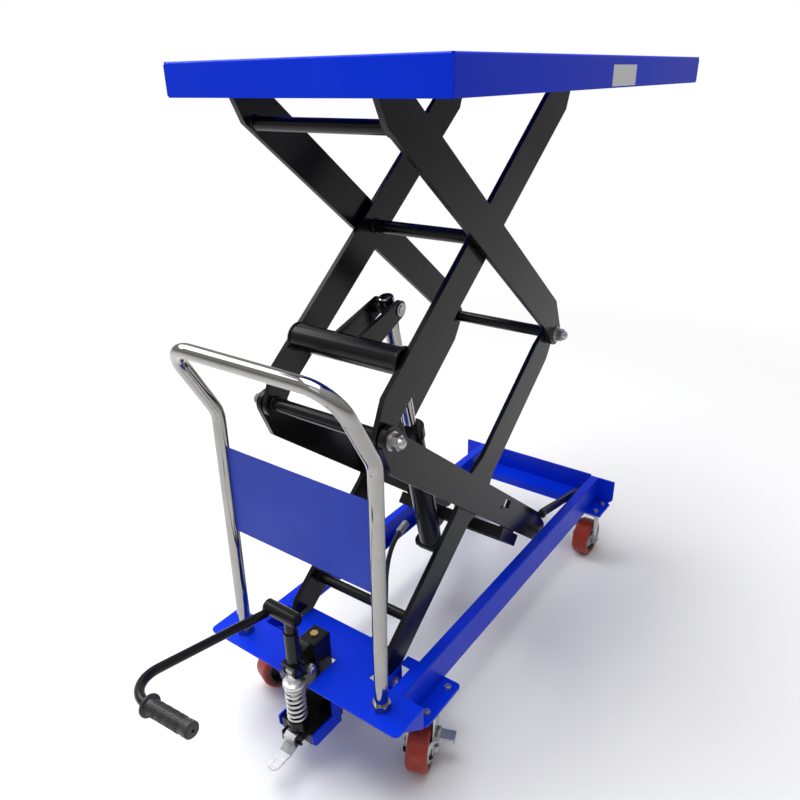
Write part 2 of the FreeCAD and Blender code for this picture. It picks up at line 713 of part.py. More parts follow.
def fork(x, wheel_x, y, top_z, crown_half):
    # two legs and a crown, with the axle bolt through their feet
    inner = hub_width / 2 + fork_gap
    outer = inner + fork_sheet
    top = top_z - fork_sheet
    legs = []
    for side in (1, -1):
        y0, y1 = sorted((y + side * inner, y + side * outer))
        leg = link((wheel_x, axle_z), 15, (x, top_z), crown_half, y0, y1)
        leg = leg.cut(block(x - 90, x + 90, y0 - 1, y1 + 1, top_z, top_z + 90))
        legs.append(leg)
    crown = block(x - crown_half, x + crown_half, y - outer, y + outer, top, top_z)
    axle = cross_rod(wheel_x, axle_z, axle_radius, y - outer - 9, y + outer + 9)
    nuts = []
    for side in (1, -1):
        face = y + side * outer
        nuts.append(hexagon(at(wheel_x, face, axle_z), at(wheel_x, face + side * 7, axle_z), 18))
    return joined(crown, *legs, axle, *nuts)


def caster_plate_with_holes(centre, size, spacing):
    low = mount_low_z - caster_sheet
    half_x, half_y = size[0] / 2, size[1] / 2
    plate = block(centre - half_x, centre + half_x, caster_y - half_y, caster_y + half_y,
                  low, mount_low_z)
    for x, y in bolt_places(centre, spacing):
        plate = plate.cut(upright(x, y, 4.5, low - 1, mount_low_z + 1))
    return plate


def make_fixed_casters():
    plate = caster_plate_with_holes(rear_caster_x, rear_plate, rear_bolts)
    crown_z = mount_low_z - caster_sheet + 1
    body = fork(rear_caster_x, rear_caster_x, caster_y, crown_z, 14)
    save("fixed_caster_forks", *pair(joined(plate, body)))
    save_sides("rear_wheel_tread", wheel_tread(rear_caster_x, caster_y))
    save_sides("rear_wheel_hub", wheel_hub(rear_caster_x, caster_y))


def turned_caster(shape):
    # the swivel casters stand turned a little outwards
    shape.rotate(at(front_caster_x, caster_y, 0), at(0, 0, 1), -caster_yaw)
    return shape


def make_swivel_casters():
    low = mount_low_z - caster_sheet
    plate = caster_plate_with_holes(front_caster_x, front_plate, front_bolts)
    king_pin = upright(front_caster_x, caster_y, 6, 132, low)
    king_head = upright(front_caster_x, caster_y, 10, 130, 133)
    save("swivel_caster_plates", *pair(joined(plate, king_pin, king_head)))

    wheel_x = front_caster_x - caster_trail
    crown_z = 144.0
    body = fork(front_caster_x, wheel_x, caster_y, crown_z, 27)
    race = upright(front_caster_x, caster_y, 27, crown_z - 1, low - 0.4)
    body = joined(body, race)
    body = body.cut(upright(front_caster_x, caster_y, 6 + running, 120, low + 1))
    body = body.cut(upright(front_caster_x, caster_y, 11, 120, 134))
    pedal_x, half, hinge_z = wheel_x + brake_ahead, brake_width / 2, brake_z
    x0, x1 = pedal_x - half, pedal_x + half
    hinge_y = caster_y + hub_width / 2 + fork_gap + fork_sheet + brake_stand_off
    ears = []
    for side in (1, -1):
        near = pedal_x + side * (half + 0.5)
        e0, e1 = sorted((near, near + side * 3))
        ears.append(joined(rod(at(e0, hinge_y, hinge_z), at(e1, hinge_y, hinge_z), 4.5),
                           block(e0, e1, hinge_y - 6, hinge_y, hinge_z - 4.5, hinge_z + 4.5)))
    pin = rod(at(x0 - 3, hinge_y, hinge_z), at(x1 + 3, hinge_y, hinge_z), 2)
    save_sides("swivel_fork", turned_caster(joined(body, *ears, pin)))

    knuckle = rod(at(x0, hinge_y, hinge_z), at(x1, hinge_y, hinge_z), 4.5)
    tip_y = hinge_y + brake_length
    tab = block(x0, x1, hinge_y, tip_y, hinge_z + 0.5, hinge_z + 3.5)
    lip = block(x0, x1, tip_y - 3, tip_y, hinge_z - 8, hinge_z + 2)
    pedal = joined(knuckle, tab, lip)
    pedal = pedal.cut(rod(at(x0 - 8, hinge_y, hinge_z), at(x1 + 8, hinge_y, hinge_z), 2 + running))
    save_sides("brake_pedal", turned_caster(pedal))
    save_sides("front_wheel_tread", turned_caster(wheel_tread(wheel_x, caster_y)))
    save_sides("front_wheel_hub", turned_caster(wheel_hub(wheel_x, caster_y)))


# foot pump
def make_pump():
    back = pump_x + pump_length
    seat_z = bracket_low_z + deck_sheet
    base_half = bracket_half_width - deck_sheet - 3
    base = block(bracket_front_x + 3, back, -base_half, base_half, seat_z, 123)
    body = block(pump_x, back, -pump_half_width, pump_half_width, seat_z, pump_top_z)
    upper = [e for e in body.Edges if e.BoundBox.ZMin > pump_top_z - 1]
    body = body.makeFillet(3, upper)
    px, pz = lever_pivot
    lug = link((px, pz), 10, (pump_x + 8, pz - 6), 14, -9.5, 9.5)
    hx, hz = release_hinge
    ears = pair(block(hx - 8, bracket_front_x + 4, 15, 18, hz - 5, hz + 17))
    hinge_pin = cross_rod(hx, hz, 3, -25, 21)
    fitting = joined(rod(at(back - 1, hose_y, hose_z), at(back + 14, hose_y, hose_z), 5),
                     hexagon(at(back, hose_y, hose_z), at(back + 9, hose_y, hose_z), 17))
    cylinder = joined(upright(piston_x, 0, 13, seat_z, spring_high_z - 26),
                      upright(piston_x, 0, 20, 122, spring_low_z))
    body = joined(base, body, lug, cylinder, *ears, hinge_pin, fitting)
    body = body.cut(upright((pump_x + back) / 2, 0, 7, pump_top_z - 10, pump_top_z + 1))
    body = body.cut(upright(piston_x, 0, 8.05, seat_z + 12, spring_high_z))
    body = body.cut(cross_rod(px, pz, 6, -10, 10))
    save("pump_body", body)

    bolt = cross_rod(px, pz, 6, -27, 26)
    heads = [hexagon(at(px, side * 16.5, pz), at(px, side * 23, pz), 17) for side in (1, -1)]
    save("lever_pivot_bolt", joined(bolt, *heads))

    plug_x = (pump_x + back) / 2
    plug = joined(upright(plug_x, 0, 7, pump_top_z - 10, pump_top_z),
                  hexagon(at(plug_x, 0, pump_top_z), at(plug_x, 0, pump_top_z + 4), 14))
    save("pump_filler_plug", plug)

    roller_low = lever_roller[1] - lever_roller_radius
    step = spring_high_z + 9
    piston = joined(upright(piston_x, 0, 8, 150, roller_low - roller_gap),
                    upright(piston_x, 0, 20, spring_high_z, step),
                    upright(piston_x, 0, 22.5, step, spring_high_z + cup_height))
    save("pump_piston", piston)

    radius = spring_radius
    wire = spring_wire / 2 / math.cos(math.radians(22.5)) - 0.1
    pitch = (spring_high_z - spring_low_z - spring_wire) / spring_turns
    helix = Part.makeHelix(pitch, pitch * spring_turns, radius)
    helix.translate(at(piston_x, 0, spring_low_z + spring_wire / 2))
    start = at(piston_x + radius, 0, spring_low_z + spring_wire / 2)
    ring = []
    for i in range(8):
        turn = math.radians(45 * i + 22.5)
        ring.append(start + at(math.cos(turn), 0, math.sin(turn)) * wire)
    section = Part.makePolygon(ring + ring[:1])
    save("pump_return_spring", Part.Wire(helix.Edges).makePipeShell([section], True, True))


def make_pump_bracket():
    # an upturned channel under the pump, with two ears that rise to the deck
    x0, x1 = bracket_front_x, bracket_back_x
    low, high = bracket_low_z, bracket_high_z
    half = bracket_half_width
    outline = [(x0 + 14, low), (x1, low), (x1, rail_top_z), (-84, rail_top_z), (-84, high), (x0, high),
               (x0, low + 14), (x0 + 4, low + 4)]
    cheek = side_profile(outline, half - deck_sheet, half)
    floor = block(x0 + 16, x1, -half, half, low, low + deck_sheet)
    save("pump_bracket", joined(floor, *pair(cheek)))


def make_pedals():
    px, pz = lever_pivot
    rx, rz = lever_roller
    cheeks = []
    for side in (1, -1):
        y0, y1 = sorted((side * 10, side * 16))
        cheek = link((px, pz), 11, (rx, rz), 12, y0, y1)
        cheek = cheek.cut(cross_rod(px, pz, 6 + running, y0 - 1, y1 + 1))
        cheeks.append(cheek)
    bridge = block(rx - 10, rx + 14, -16, 16, rz + 11, rz + 16)
    cheeks += [block(rx - 10, rx + 10, y0, y1, rz, rz + 16) for y0, y1 in ((10, 16), (-16, -10))]
    presser = joined(cross_rod(rx, rz, lever_roller_radius, -9, 9), cross_rod(rx, rz, 4, -19, 19))
    column_x = rx + 6
    column = upright(column_x, 0, column_radius, rz + 14, column_top_z)
    neck = upright(column_x, 0, neck_radius, column_top_z - 1, hub_z - 5)
    hub = cross_rod(column_x, hub_z, hub_radius, hub_near_y, hub_far_y)
    hub = hub.makeChamfer(2.5, [e for e in hub.Edges if e.Closed])
    corner, tip = at(*pedal_corner), at(*pedal_tip)
    arm = tube_run([at(*pedal_root), corner, tip], [pedal_bend], pedal_radius)
    save("pump_pedal_lever", joined(hub, column, neck, bridge, *cheeks, presser, arm))

    out = (tip - corner).normalize()
    start = tip - out * grip_length
    grip = joined(rod(start, tip + out * 4, grip_radius), rod(start, start + out * 5, grip_flange))
    save("pump_pedal_grip", grip.cut(rod(start - out, tip, pedal_radius)))

    hx, hz = release_hinge
    top = hz + 15
    outline = [(hx - 9, hz - 14), (hx + 6, hz - 14), (hx + 6, top), (hx - 1, top), (hx - 9, top - 5)]
    head = side_profile(outline, -13, 13)
    spoon = side_profile([(hx - 9, hz - 6), (hx + 2, hz - 14), (hx - 20, hz - 21), (hx - 62, hz - 22),
                          (hx - 62, hz - 19), (hx - 22, hz - 17)], -13, 13)
    spoon = spoon.common(joined(block(hx - 49, hx + 10, -14, 14, 0, hz), upright(hx - 49, 0, 13, 0, hz)))
    foot = joined(head, spoon).cut(cross_rod(hx, hz, 3 + running, -15, 15))
    save("release_pedal", foot)


def hose_route():
    return [at(-34, 12, 125), at(5, 12, 125), at(48, 24, 114), at(98, 34, 98),
            at(155, 41, 92), at(203, 45, 118), at(214, 48, 172), at(218, 49, 232),
            at(236, 49, 284), at(268, 49, 312), at(300, 49, 322)]


def make_hose():
    points = hose_route()
    bends = []
    for a, b, c in zip(points, points[1:], points[2:]):
        turn = math.pi - (a - b).getAngle(c - b)
        bends.append(0.45 * min((b - a).Length, (c - b).Length) / math.tan(turn / 2))
    length = sum((b - a).Length for a, b in zip(points, points[1:]))
    print("hose corner radii", [round(r) for r in bends], "length", round(length))
    save("hydraulic_hose", tube_run(points, bends, 5.5))


os.makedirs("parts", exist_ok=True)
make_arms()
make_shafts()
make_cross_tubes()
make_ram()
make_cross_beam()
make_rollers()
make_platform()
make_rails()
make_far_cross_member()
make_mount_plates()
make_bolts()
make_deck()
make_handle()
make_fixed_casters()
make_swivel_casters()
make_pump()
make_pump_bracket()
make_pedals()
make_hose()
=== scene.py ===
import bpy
import bmesh
import json
import math
from mathutils import Matrix, Vector

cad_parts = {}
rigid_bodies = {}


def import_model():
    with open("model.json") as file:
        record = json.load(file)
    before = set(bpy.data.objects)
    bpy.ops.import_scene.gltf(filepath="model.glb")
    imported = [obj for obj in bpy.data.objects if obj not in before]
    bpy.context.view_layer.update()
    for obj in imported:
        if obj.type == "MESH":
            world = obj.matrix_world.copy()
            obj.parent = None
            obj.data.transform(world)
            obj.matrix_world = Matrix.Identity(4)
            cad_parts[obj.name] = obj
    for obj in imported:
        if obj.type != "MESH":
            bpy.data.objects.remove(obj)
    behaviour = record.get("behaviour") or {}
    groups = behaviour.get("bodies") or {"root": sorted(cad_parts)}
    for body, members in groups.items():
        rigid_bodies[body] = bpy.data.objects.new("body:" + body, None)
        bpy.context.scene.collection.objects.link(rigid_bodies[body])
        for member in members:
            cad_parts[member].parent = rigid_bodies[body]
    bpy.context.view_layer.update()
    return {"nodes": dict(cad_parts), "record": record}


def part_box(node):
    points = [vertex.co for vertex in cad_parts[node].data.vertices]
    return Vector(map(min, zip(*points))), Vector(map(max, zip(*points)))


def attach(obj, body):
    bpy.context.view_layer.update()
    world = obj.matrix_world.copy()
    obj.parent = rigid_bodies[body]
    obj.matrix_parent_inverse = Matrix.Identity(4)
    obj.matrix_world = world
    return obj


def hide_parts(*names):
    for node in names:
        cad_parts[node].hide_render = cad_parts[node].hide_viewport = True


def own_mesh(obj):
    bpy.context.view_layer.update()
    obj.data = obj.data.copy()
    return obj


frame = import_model()
bodyOf = {node: body for body, nodes in frame["record"]["behaviour"]["bodies"].items() for node in nodes}
slotOf = {part["node"]: part["material_slot"] for part in frame["record"]["subparts"]}
print("frame loaded:", len(bodyOf), "nodes")


# places in the frame

def middleOf(node):
    low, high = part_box(node)
    return (low + high) / 2


def pointsAt(node, y, tolerance=0.0002):
    return [v.co for v in frame["nodes"][node].data.vertices if abs(v.co.y - y) < tolerance]


def rimsAt(node, y, apart=0.06):
    # centre and radius of each round outline that a node has in the plane at that y
    groups = []
    for point in pointsAt(node, y):
        near = [group for group in groups if (group[0] - point).length < apart]
        if near:
            near[0].append(point)
        else:
            groups.append([point])
    rims = []
    for group in groups:
        xs, zs = [p.x for p in group], [p.z for p in group]
        centre = Vector(((min(xs) + max(xs)) / 2, y, (min(zs) + max(zs)) / 2))
        rims.append((centre, (max(xs) - min(xs)) / 2))
    return rims


pivotLine = middleOf("base_pivot_pins")      # the line of the handle-end pivots
floorDrop = 0.009                            # the floor's height in the drawing's own coordinates


def placed(point):
    # a point of the drawing, in millimetres from the handle-end pivots, moved into the frame
    return Vector((point[0] / 1000 + pivotLine.x, point[1] / 1000, point[2] / 1000 - floorDrop))


# shader building

class Wire:
    # a socket that adds a Math node when it is used in an expression
    def __init__(self, finish, socket):
        self.finish = finish
        self.socket = socket

    def math(self, operation, *values):
        return self.finish.node("ShaderNodeMath", {"operation": operation}, dict(enumerate(values)))

    def __add__(self, other):
        return self.math("ADD", self, other)

    def __mul__(self, other):
        return self.math("MULTIPLY", self, other)

    __radd__ = __add__
    __rmul__ = __mul__


class Finish:
    # a material whose nodes all come from one method
    def __init__(self, name, owner=None):
        self.owner = owner or bpy.data.materials.new(name)
        self.owner.use_nodes = True
        self.tree = self.owner.node_tree
        self.tree.nodes.clear()

    def node(self, kind, settings=None, values=None, output=0):
        made = self.tree.nodes.new(kind)
        for key, value in (settings or {}).items():
            if key == "stops":
                self.setStops(made.color_ramp, value)
            else:
                setattr(made, key, value)
        for key, value in (values or {}).items():
            if isinstance(value, Wire):
                self.tree.links.new(value.socket, made.inputs[key])
            else:
                made.inputs[key].default_value = value
        return Wire(self, made.outputs[output]) if made.outputs else None

    def setStops(self, ramp, stops):
        while len(ramp.elements) < len(stops):
            ramp.elements.new(0.5)
        for element, (position, colour) in zip(ramp.elements, stops):
            element.position = position
            element.color = colour

    def place(self):
        return self.node("ShaderNodeTexCoord", output="Object")

    def stretched(self, scale):
        return self.node("ShaderNodeMapping", values={"Vector": self.place(), "Scale": scale})

    def noise(self, scale, detail=3.0, rough=0.5, where=None):
        values = {"Vector": where or self.place(), "Scale": scale, "Detail": detail, "Roughness": rough}
        return self.node("ShaderNodeTexNoise", values=values)

    def ramp(self, value, low, high):
        # 0 below low, 1 above high
        values = {"Value": value, "From Min": low, "From Max": high}
        return self.node("ShaderNodeMapRange", {"clamp": True}, values)

    def mix(self, factor, first, second):
        return self.node("ShaderNodeMix", {"data_type": "RGBA"}, {0: factor, 6: first, 7: second}, 2)

    def bump(self, height, distance):
        values = {"Height": height, "Distance": distance, "Strength": 1.0}
        return self.node("ShaderNodeBump", values=values)

    def shade(self, values):
        surface = self.node("ShaderNodeBsdfPrincipled", values=values)
        self.node("ShaderNodeOutputMaterial", values={"Surface": surface})
        return self.owner


def tone(red, green, blue):
    return (red, green, blue, 1.0)


def powderPaint(name, paint):
    # powder coat: fine orange peel, a little uneven in gloss, with faint patches of dust
    f = Finish(name)
    cloud = f.noise(paint["cloudScale"], 2.0, 0.4)
    dust = f.ramp(f.noise(9.0, 3.0, 0.5), 0.45, 0.85) * paint["dust"]
    colour = f.mix(cloud, paint["deep"], paint["bright"])
    colour = f.mix(dust, colour, paint["dustTone"])
    peel = f.noise(420.0, 2.0, 0.5) * 0.7 + f.noise(1400.0, 1.0, 0.5) * 0.3
    rough = cloud * paint["roughSpread"] + paint["rough"] + dust * 0.1
    return f.shade({"Base Color": colour, "Roughness": rough, "Normal": f.bump(peel, paint["peel"]),
                    "Specular IOR Level": paint["gloss"]})


def platedSteel(name, plate):
    # zinc or turned steel: mottled, with faint drawn lines along one direction
    f = Finish(name)
    mottle = f.noise(plate["mottleScale"], 5.0, 0.65)
    lines = f.noise(60.0, 3.0, 0.6, f.stretched(plate["lines"]))
    colour = f.mix(f.ramp(mottle, 0.35, 0.7), plate["dark"], plate["light"])
    rough = mottle * plate["roughSpread"] + lines * 0.12 + plate["rough"]
    return f.shade({"Base Color": colour, "Metallic": 1.0, "Roughness": rough,
                    "Normal": f.bump(lines + mottle, plate["relief"])})


def polishedChrome(name):
    # plated tube: bright, with a few wiped smears that roughen it and fine upright scratches; its colour
    # is darkened in patches as a painted reflection of dark surroundings
    f = Finish(name)
    smearAndReflection = f.noise(22.0, 5.0, 0.6)
    scratches = f.ramp(f.noise(300.0, 2.0, 0.5, f.stretched((1.0, 1.0, 0.06))), 0.62, 0.7)
    rough = f.ramp(smearAndReflection, 0.4, 0.75) * 0.08 + scratches * 0.06 + 0.05
    # painted reflection: the smear noise also darkens the base colour in patches, standing in for dark
    # bands reflected in the chrome
    colour = f.mix(smearAndReflection, tone(0.28, 0.27, 0.258), tone(0.41, 0.4, 0.382))
    return f.shade({"Base Color": colour, "Metallic": 1.0, "Roughness": rough,
                    "Normal": f.bump(smearAndReflection, 0.00002)})


def mouldedTread(name):
    # cast polyurethane: warm red brown, scuffed and dusty on the running face
    f = Finish(name)
    body = f.noise(30.0, 4.0, 0.6)
    scuff = f.ramp(f.noise(90.0, 6.0, 0.75), 0.52, 0.72)
    colour = f.mix(body, tone(0.27, 0.022, 0.012), tone(0.4, 0.045, 0.025))
    colour = f.mix(scuff * 0.15, colour, tone(0.42, 0.24, 0.17))
    return f.shade({"Base Color": colour, "Roughness": scuff * 0.3 + 0.33,
                    "Normal": f.bump(scuff + body, 0.0002), "Specular IOR Level": 0.28})


def mouldedRubber(name, grain, rough, bloomTone=tone(0.05, 0.05, 0.052)):
    # rubber and nylon: near black with a paler bloom
    f = Finish(name)
    pores = f.noise(grain, 3.0, 0.6)
    bloom = f.ramp(f.noise(25.0, 5.0, 0.6), 0.5, 0.8)
    colour = f.mix(bloom * 0.5, tone(0.012, 0.012, 0.013), bloomTone)
    return f.shade({"Base Color": colour, "Roughness": bloom * 0.15 + rough,
                    "Normal": f.bump(pores, 0.0002)})


def machinedBrass(name):
    # turned brass, browned in patches
    f = Finish(name)
    tarnish = f.ramp(f.noise(120.0, 5.0, 0.6), 0.4, 0.75)
    colour = f.mix(tarnish, tone(0.72, 0.5, 0.2), tone(0.35, 0.22, 0.08))
    return f.shade({"Base Color": colour, "Metallic": 1.0, "Roughness": tarnish * 0.3 + 0.25,
                    "Normal": f.bump(tarnish, 0.00005)})


def labelPaper(name):
    # a blank sticker, a little creased and soiled
    f = Finish(name)
    crease = f.noise(60.0, 4.0, 0.6)
    soil = f.ramp(f.noise(180.0, 5.0, 0.7), 0.5, 0.8)
    colour = f.mix(soil * 0.3, tone(0.74, 0.74, 0.76), tone(0.52, 0.52, 0.55))
    return f.shade({"Base Color": colour, "Roughness": soil * 0.2 + 0.35,
                    "Normal": f.bump(crease, 0.0001)})


bluePaint = {"deep": tone(0.0, 0.022, 0.58), "bright": tone(0.0, 0.036, 0.74), "dust": 0.06,
             "dustTone": tone(0.04, 0.1, 0.6), "cloudScale": 5.0, "rough": 0.26, "roughSpread": 0.1,
             "peel": 0.00006, "gloss": 0.15}
panelPaint = dict(bluePaint, deep=tone(0.016, 0.042, 0.4), bright=tone(0.024, 0.06, 0.5),
                  dust=0.2, rough=0.34)
blackPaint = {"deep": tone(0.003, 0.003, 0.0035), "bright": tone(0.008, 0.008, 0.0078), "dust": 0.1,
              "dustTone": tone(0.035, 0.035, 0.032), "cloudScale": 7.0, "rough": 0.15,
              "roughSpread": 0.1, "peel": 0.0001, "gloss": 0.24}
zincPlate = {"dark": tone(0.36, 0.375, 0.395), "light": tone(0.62, 0.63, 0.62), "mottleScale": 45.0,
             "lines": (1.0, 1.0, 0.2), "rough": 0.24, "roughSpread": 0.2, "relief": 0.00006}
turnedSteel = {"dark": tone(0.34, 0.33, 0.32), "light": tone(0.6, 0.59, 0.57), "mottleScale": 70.0,
               "lines": (1.0, 8.0, 1.0), "rough": 0.2, "roughSpread": 0.18, "relief": 0.00004}

finishes = {
    "blue_paint": powderPaint("bluePowderPaint", bluePaint),
    "blue_panel": powderPaint("panelPaint", panelPaint),
    "black_paint": powderPaint("blackPaint", blackPaint),
    "chrome": polishedChrome("polishedChrome"),
    "steel": platedSteel("turnedSteel", turnedSteel),
    "zinc": platedSteel("zincPlate", zincPlate),
    "red_tread": mouldedTread("polyurethaneTread"),
    "hub": platedSteel("hubCover", dict(zincPlate, light=tone(0.55, 0.55, 0.54))),
    "black_rubber": mouldedRubber("blackRubber", 900.0, 0.5),
    "brass": machinedBrass("machinedBrass"),
}
springSteel = platedSteel("springSteel", dict(zincPlate, dark=tone(0.5, 0.5, 0.5),
                                              light=tone(0.82, 0.82, 0.8), mottleScale=90.0))
gripRubber = mouldedRubber("gripRubber", 700.0, 0.46, tone(0.12, 0.12, 0.118))
coreNylon = mouldedRubber("coreNylon", 300.0, 0.42)
paleNylon = mouldedRubber("paleNylon", 300.0, 0.5, tone(0.3, 0.3, 0.28))
blankLabel = labelPaper("blankLabel")
print("finishes made:", len(finishes))


# ways of making a piece: lengths in metres, angles in degrees

meshRules = {"merge": 0.000002, "flat": 0.4, "sharp": 32.0, "onFace": 0.00005}


def finished(work, name, body, slot, smoothAngle=meshRules["sharp"], finish=None):
    # turns a bmesh into a piece that rides on a body and wears a finish, by default its slot's
    sharp = math.radians(smoothAngle)
    for face in work.faces:
        face.smooth = True
    for edge in work.edges:
        edge.smooth = edge.calc_face_angle(0.0) < sharp
    mesh = bpy.data.meshes.new(name)
    work.to_mesh(mesh)
    work.free()
    piece = bpy.data.objects.new(name, mesh)
    bpy.context.scene.collection.objects.link(piece)
    mesh.materials.append(finish or finishes[slot])
    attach(piece, body)
    return piece


def addBevel(piece, width):
    bevel = piece.modifiers.new("edges", "BEVEL")
    bevel.width = width
    bevel.segments = 2
    bevel.limit_method = "ANGLE"
    bevel.angle_limit = math.radians(meshRules["sharp"])
    bevel.harden_normals = True


def bevelled(work, edges, width):
    # rounds chosen edges of a bmesh
    bmesh.ops.bevel(work, geom=edges, offset=width, segments=4, profile=0.5, affect="EDGES",
                    material=-1)


def turned(work, outline, base, axis, steps=40, closed=False):
    # a form turned about an axis from (radius, height) pairs; closed makes it a ring
    axis = axis.normalized()
    side = axis.orthogonal().normalized()
    verts = [work.verts.new(base + axis * height + side * radius) for radius, height in outline]
    pairs = list(zip(verts, verts[1:])) + ([(verts[-1], verts[0])] if closed else [])
    edges = [work.edges.new(pair) for pair in pairs]
    bmesh.ops.spin(work, geom=verts + edges, cent=base, axis=axis, angle=math.tau, steps=steps,
                   use_merge=True)


def tidied(work):
    bmesh.ops.remove_doubles(work, verts=work.verts, dist=meshRules["merge"])
    bmesh.ops.recalc_face_normals(work, faces=work.faces)
    return work


def pieceName(node):
    words = node.split("_")
    return words[0] + "".join(word.capitalize() for word in words[1:])


def onBoxEdge(edge, low, high, planes):
    # whether an edge lies along two outer faces of the piece's box, its underside left out;
    # planes names the pairs of faces
    touched = ""
    for axis, letter in enumerate("xyz"):
        limits = [high[axis]] if letter == "z" else [low[axis], high[axis]]
        if any(all(abs(v.co[axis] - limit) < meshRules["onFace"] for v in edge.verts)
               for limit in limits):
            touched += letter
    return touched in planes


def softened(node, width, roundEdge=None):
    # the node's own shape, merged and with its edges rounded
    work = bmesh.new()
    work.from_mesh(frame["nodes"][node].data)
    bmesh.ops.remove_doubles(work, verts=work.verts, dist=meshRules["merge"])
    bmesh.ops.dissolve_limit(work, angle_limit=math.radians(meshRules["flat"]), verts=work.verts,
                             edges=work.edges)
    if roundEdge:
        low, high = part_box(node)
        folds = [edge for edge in work.edges if onBoxEdge(edge, low, high, roundEdge["planes"])]
        bevelled(work, folds, roundEdge["radius"])
    piece = finished(work, pieceName(node), bodyOf[node], slotOf[node])
    addBevel(piece, width)
    if roundEdge:
        flatness = piece.modifiers.new("flatness", "WEIGHTED_NORMAL")    # wide faces shade flat
        flatness.keep_sharp = True
    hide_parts(node)


# hose: from the pump block to the foot of the ram's barrel

hoseSizes = {"radius": 0.0055, "length": 0.49}
sleeveSizes = {"radius": 0.0085, "length": 0.03, "pinch": 0.0003, "grooves": 4, "first": 0.15,
               "apart": 0.2, "groove": 0.004, "depth": 0.001, "steps": 32}
hoseRoute = [(-34, 12, 125), (5, 12, 125), (48, 24, 114), (98, 34, 98), (155, 41, 92), (203, 45, 118),
             (214, 48, 172), (218, 49, 232), (236, 49, 284), (268, 49, 312), (300, 49, 322)]


def makeSleeves():
    # crimped sleeves where the hose meets its two fittings
    radius, length, groove, depth = (sleeveSizes[key] for key in ("radius", "length", "groove", "depth"))
    bore = hoseSizes["radius"] - sleeveSizes["pinch"]
    work = bmesh.new()
    for end, inward in ((0, 1), (-1, -2)):
        start = placed(hoseRoute[end])
        along = placed(hoseRoute[inward]) - start
        outline = [(bore, 0.0), (radius, 0.0)]
        for number in range(sleeveSizes["grooves"]):
            foot = length * (sleeveSizes["first"] + sleeveSizes["apart"] * number)
            outline += [(radius, foot), (radius - depth, foot + depth),
                        (radius - depth, foot + groove - depth), (radius, foot + groove)]
        outline += [(radius, length - depth), (radius - depth, length), (bore, length)]
        turned(work, outline, start, along, sleeveSizes["steps"], closed=True)
    return finished(tidied(work), "hoseSleeves", "base_frame", "zinc")


def makeHose():
    line = bpy.data.curves.new("hydraulicHose", "CURVE")
    line.dimensions = "3D"
    spline = line.splines.new("NURBS")
    spline.points.add(len(hoseRoute) - 1)
    for point, route in zip(spline.points, hoseRoute):
        point.co = (*placed(route), 1.0)
    spline.order_u = 3
    spline.use_endpoint_u = True
    spline.resolution_u = 12
    line.bevel_depth = hoseSizes["radius"]
    line.bevel_resolution = 6
    line.use_fill_caps = True
    hose = bpy.data.objects.new("hydraulicHose", line)
    bpy.context.scene.collection.objects.link(hose)
    line.materials.append(finishes["black_rubber"])
    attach(hose, bodyOf["hydraulic_hose"])
    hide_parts("hydraulic_hose")
    sleeves = makeSleeves()


makeHose()
print("hose made")


# the frame's own sheet, plate and machined pieces, with worked edges

edgeWidths = {"sheet": 0.0008, "plate": 0.001, "machined": 0.0005}
foldedEdges = {"platform_top": {"radius": 0.0035, "planes": ("xy", "xz", "yz")},
               "side_rails": {"radius": 0.0035, "planes": ("yz",)}}
sheetNodes = ("platform_top", "platform_underframe", "side_rails", "far_cross_member", "front_deck",
              "caster_mounting_plates", "pump_bracket", "handle_panel", "ram_cross_beam",
              "release_pedal", "fixed_caster_forks", "left_swivel_fork", "right_swivel_fork",
              "swivel_caster_plates", "left_brake_pedal", "right_brake_pedal")
machinedNodes = ("pump_body", "pump_pedal_lever", "lower_pivot_shafts", "upper_pivot_shafts",
                 "safety_prop", "torsion_tube", "ram_barrel")
for node in sheetNodes:
    softened(node, edgeWidths["sheet"], foldedEdges.get(node))
for node in bodyOf:
    if node.endswith("_arm"):
        softened(node, edgeWidths["plate"])
for node in machinedNodes:
    softened(node, edgeWidths["machined"])
print("edges rounded")

for node, piece in frame["nodes"].items():
    piece.data.materials.clear()
    piece.data.materials.append(finishes[slotOf[node]])


def paintPart(mesh, finish, chosen):
    # gives a second finish to the faces whose centre passes the test
    mesh.materials.append(finish)
    for face in mesh.polygons:
        if chosen(face.center):
            face.material_index = len(mesh.materials) - 1


# the stub shafts where a pair of arms crosses are painted over with the arms

crossingRadius = 0.03
for shafts, arm in (("lower_pivot_shafts", "left_lower_inner_arm"),
                    ("upper_pivot_shafts", "left_upper_inner_arm")):
    crossing = middleOf(arm)
    paintPart(bpy.data.objects[pieceName(shafts)].data, finishes["black_paint"],
              lambda point: math.hypot(point.x - crossing.x, point.z - crossing.z) < crossingRadius)


# pump: the return spring, the pressing roller and the small hardware of the block

cupSizes = {"foot": 0.2245 - floorDrop, "rod": 0.008, "neck": 0.009, "chamfer": 0.001, "steps": 48,
            # the flange's outline: radius, and height above the foot
            "flange": ((0.0192, 0.0), (0.0192, 0.0028), (0.0207, 0.003), (0.0215, 0.0038),
                       (0.0215, 0.0075), (0.0205, 0.0085), (0.0145, 0.0092), (0.0118, 0.0112),
                       (0.009, 0.015))}


def makeCup():
    # plunger: a rod, and the flanged cup that the spring pushes up
    low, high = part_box("pump_piston")
    centre = Vector((middleOf("pump_piston").x, 0.0, 0.0))
    foot, rod, neck, chamfer = (cupSizes[key] for key in ("foot", "rod", "neck", "chamfer"))
    outline = [(0.0, low.z), (rod, low.z), (rod, foot)]
    outline += [(radius, foot + height) for radius, height in cupSizes["flange"]]
    outline += [(neck, high.z - chamfer), (neck - chamfer, high.z), (0.0, high.z)]
    work = bmesh.new()
    turned(work, outline, centre, Vector((0, 0, 1)), cupSizes["steps"])
    cup = finished(tidied(work), "pumpCup", bodyOf["pump_piston"], slotOf["pump_piston"],
                   smoothAngle=30.0, finish=springSteel)
    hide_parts("pump_piston")


makeCup()

